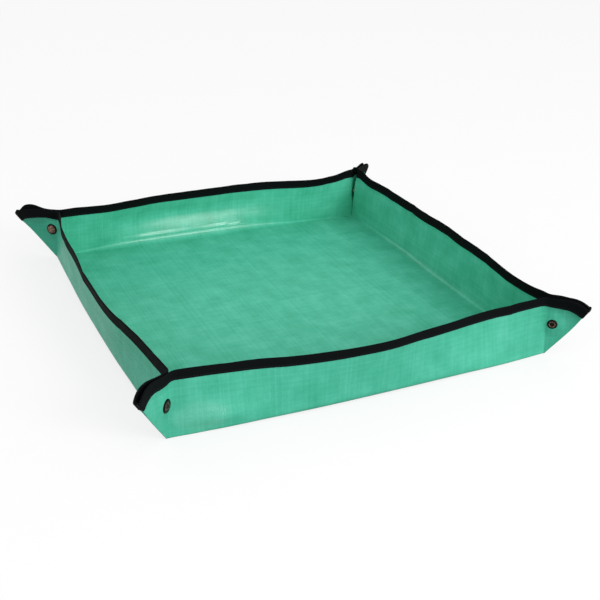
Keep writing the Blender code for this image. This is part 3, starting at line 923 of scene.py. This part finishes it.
def make_wall_part(wall, end):
    """The middle of a wall, with end 0, or one of its ends, with end 1 or -1."""
    def place(across, up):
        inner = up * up * (3 - 2 * up) * ROW_EASE + up * (1 - ROW_EASE)
        out = WALL * inner
        for _ in range(SEAM_TRIES):
            limit = pinch_x(out) - PINCH_BEND * max(out, 0.0) / WALL
            x = end * (CUT + (limit - CUT) * across) if end else (2 * across - 1) * CUT
            seam = seam_out(wall, x)
            out = seam + (WALL - seam) * inner
        return pulled(wall, wall_point(wall, x, out)), to_sheet(wall, x, out)

    name = "sheet_wall_" + wall + {0: "_middle", 1: "_end_a", -1: "_end_b"}[end]
    columns = END_COLUMNS if end else MIDDLE_COLUMNS
    made = formed_sheet(name, columns, WALL_ROWS, place, SHEET, TARP)
    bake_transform(made)
    return made


for wall in WALLS:
    [make_wall_part(wall, end) for end in (0, 1, -1)]
    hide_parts("tarp_wall_" + wall)

# %% [markdown]
# The ears are made the same way, eight halves in all.

# %% Ears
EAR_COLUMNS, EAR_ROWS = 60, 40
EAR_ROOT_SHARE = 0.005


def ear_blend(piece, wall, end):
    """Work out the pinch line's foot and a way outwards from it, bent away from the seam's top
    where that is pulled past the line, though neither is used; then bake the piece's place into
    its mesh."""
    level = HALF_ROOT * math.cos(TILT)
    foot = to_world(wall, Vector((end * (BASE_HALF - SNAP_GAP / HALF_ROOT), 0, SHEET / 2)))
    away = turned_to(wall, Vector((end * level, level, math.sin(TILT))))
    seam = pulled(wall, ear_point(wall, end, 0.0, 1.0)[0]) - foot
    away -= seam * (max(0.0, seam.dot(away)) / seam.length_squared)
    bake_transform(piece)


def make_half_ear(wall, end):
    def place(across, up):
        share = EAR_ROOT_SHARE + (1 - EAR_ROOT_SHARE) * up
        point, (u, v) = ear_point(wall, end, across, share)
        return pulled(wall, point), to_sheet(wall, end * (BASE_HALF + u), v)

    name = half_of(wall, end)
    made = formed_sheet("sheet_ear_" + name, EAR_COLUMNS, EAR_ROWS, place, SHEET, TARP)
    ear_blend(made, wall, end)
    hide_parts("tarp_ear_" + name)
    return made


ears = {(wall, end): make_half_ear(wall, end) for wall in WALLS for end in (1, -1)}
print("ear halves", len(ears))

# %% [markdown]
# The tape is folded over the rim: down one side, round the top, and down the other. Its section
# is swept along the same surfaces as the cloth, standing off it by the thickness of a seam, so
# it follows every bow and bend. Sewn edging is never quite even, so its width and its fullness
# wander a little. It shows narrower along the front wall, and widens there round each ear.

# %% Tape
TAPE_THICKNESS = 0.55 * MM
FRONT_TAPE_WIDTH = 10.4 * MM
TAPE_OFF = 0.8 * MM
TAPE_DEPTHS = 7
TAPE_ROUND = 6
TAPE_WANDER = 0.5 * MM
WANDER_SIZE = 35 * MM
PUFF_SHARE = 0.35
PUFF_SIZE = 18 * MM
SLOPE_STEP = 0.4 * MM


def tape_section():
    """Down-from-rim depth, side of the cloth and rise over the rim, round the fold."""
    depths = [step / TAPE_DEPTHS for step in range(TAPE_DEPTHS + 1)]
    section = [(depth, 1.0, 0.0) for depth in reversed(depths)]
    for step in range(1, TAPE_ROUND):
        turn = math.pi * step / TAPE_ROUND
        section.append((0.0, math.cos(turn), math.sin(turn)))
    return section + [(depth, -1.0, 0.0) for depth in depths]


def tape_over(name, columns, surface, length, seed, start_width=TAPE_WIDTH, width=TAPE_WIDTH):
    """Sweep the folded section along surface(across, depth), which gives points of the cloth."""
    section = tape_section()

    def place(across, up):
        share, side, rise = section[round(up * (len(section) - 1))]
        along = across * length
        wander = noise.noise(Vector((along, seed, 0)) / WANDER_SIZE)
        own_width = start_width + (width - start_width) * smooth(2 * across)
        depth = share * (own_width + wander * TAPE_WANDER)
        point = surface(across, depth)
        step = SLOPE_STEP / length
        beside = surface(min(across + step, 1), depth) - surface(max(across - step, 0), depth)
        upward = (surface(across, depth) - surface(across, depth + SLOPE_STEP)).normalized()
        normal = beside.cross(upward).normalized()
        puff = noise.noise(Vector((along, seed + depth, 1)) / PUFF_SIZE)
        off = TAPE_OFF * (1 + PUFF_SHARE * puff * (1 - share))
        return (point + normal * (side * off) + upward * (rise * off),
                (along + seed, share * TAPE_WIDTH))

    return formed_sheet(name, columns, len(section) - 1, place, TAPE_THICKNESS, TAPE)


def make_wall_tape(wall):
    def surface(across, depth):
        out = WALL - depth
        x = (2 * across - 1) * (pinch_x(out) - PINCH_BEND * out / WALL)
        return pulled(wall, wall_point(wall, x, out))

    seed = len(WALLS) * WALLS[wall][0] * MM
    width = FRONT_TAPE_WIDTH if wall == "front" else TAPE_WIDTH
    columns = MIDDLE_COLUMNS + 2 * END_COLUMNS
    made = tape_over("tape_" + wall, columns, surface, 2 * pinch_x(WALL), seed, width, width)
    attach(made, "wall_" + wall)
    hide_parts("edging_" + wall)
    return made


def make_ear_tape(wall, end):
    def surface(across, depth):
        share = 1 - depth / WALL
        return pulled(wall, ear_point(wall, end, across, share)[0])

    name = half_of(wall, end)
    seed = (WALLS[wall][0] + end) * MM
    made = tape_over("tape_ear_" + name, EAR_COLUMNS, surface, RIM_LENGTH + PINCH_BEND, seed,
                     FRONT_TAPE_WIDTH if wall == "front" else TAPE_WIDTH)
    ear_blend(made, wall, end)
    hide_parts("edging_ear_" + name)
    return made


tapes = {wall: make_wall_tape(wall) for wall in WALLS}
ear_tapes = {key: make_ear_tape(*key) for key in ears}
print("tapes", len(tapes) + len(ear_tapes))

# %% [markdown]
# The metal pieces are right as they stand in the frame, so they keep their shapes and get their
# finishes. Material slots of a solid are simply assigned to.

# %% Snap fasteners
for name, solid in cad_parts.items():
    if name.startswith("snap_"):
        metal = SPRING if "spring" in name else BRASS
        for slot in solid.material_slots:
            slot.material = metal

# %% [markdown]
# Two small turned parts frame the rubbed faces of the fasteners, both in blackened brass: a
# curled rim, partly the darkening that stays longest there and partly painted shadow where the
# fastener stands proud of the cloth, and a disc in the mouth of the hollow post, which is
# painted shade for the inside of the hole. The front left fastener has a broader rim. A bolt or
# a rim like these is drawn as half a section and spun about its axis. The sections below are
# given as distances from the axis and heights over the middle of the cloth, in mm.

# %% Rims and mouths of the snap fasteners
SPIN_STEPS = 32
MERGE_WITHIN = 0.001 * MM
# dark rims whose outer part lies on the cloth as painted shadow round the fastener
EYELET_RIM = ((4.2, 3.4), (4.3, 3.95), (5.0, 3.85), (5.7, 3.55), (6.3, 3.0), (6.7, 2.3),
              (5.4, 2.3))
WIDE_EYELET_RIM = ((5.5, 2.3), (5.6, 3.75), (6.4, 3.95), (7.4, 3.7), (8.1, 3.1), (8.3, 2.3))
CAP_RIM = ((6.2, 3.4), (6.3, 4.05), (7.0, 3.95), (7.8, 3.5), (8.4, 2.9), (8.6, 2.3),
           (7.0, 2.3))
# painted shade: a black disc standing in for the dark inside of the hollow post
POST_HOLE_SHADE = ((0, 3.5), (1.8, 3.55), (2.4, 3.85), (2.8, 3.85), (3.0, 3.5), (0, 3.3))


def turned(name, corner, section, from_cap):
    """Spin a section about a corner's snap fastener, on its eyelet's side or on its cap's."""
    ends = [sum(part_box("snap_" + part + "_" + corner), Vector()) / 2
            for part in ("eyelet", "cap")]
    axis = (ends[0] - ends[1]).normalized() * (-1 if from_cap else 1)
    middle = Vector((ends[0].x + ends[1].x, ends[0].y + ends[1].y, 2 * ends[0].z)) / 2
    bm = bmesh.new()
    line = [bm.verts.new((radius * MM, 0, height * MM)) for radius, height in section]
    following = line[1:] if section[0][0] == 0 else line[1:] + line[:1]
    edges = [bm.edges.new(pair) for pair in zip(line, following)]
    bmesh.ops.spin(bm, geom=line + edges, cent=(0, 0, 0), axis=(0, 0, 1), angle=2 * math.pi,
                   steps=SPIN_STEPS, use_merge=True)
    bmesh.ops.remove_doubles(bm, verts=bm.verts, dist=MERGE_WITHIN)
    bmesh.ops.recalc_face_normals(bm, faces=bm.faces)
    turn = Vector((0, 0, 1)).rotation_difference(axis).to_matrix()
    bmesh.ops.rotate(bm, verts=bm.verts, cent=(0, 0, 0), matrix=turn)
    bmesh.ops.translate(bm, verts=bm.verts, vec=middle)
    made = mesh_piece(bm, name + "_" + corner, BLACKENED_BRASS_AND_SHADOW)
    made.data.shade_smooth()
    first, second = corner.split("_")
    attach(made, "ear_" + (second + "_" + first if from_cap else corner))


for corner in DROOPS:
    rim = WIDE_EYELET_RIM if corner == "front_left" else EYELET_RIM
    turned("eyelet_rim", corner, rim, False)
    turned("post_hole_shade", corner, POST_HOLE_SHADE, False)
    turned("cap_rim", corner, CAP_RIM, True)
print("turned parts", 3 * len(DROOPS))

# %% [markdown]
# The pieces of cloth are one sheet of 680 by 680 mm on the real mat, cut here where it folds
# and where each wall is parted in three.

# %% [markdown]
# Last, the dressed mat's box is written beside the frame's, so that the two can be compared.

# %% Sizes
bpy.context.view_layer.update()
dressed_box = [list(corner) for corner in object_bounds()]
for name, box in (("solids", solid_box), ("dressed", dressed_box)):
    print(name, [round((high - low) / MM, 1) for low, high in zip(*box)], "mm")
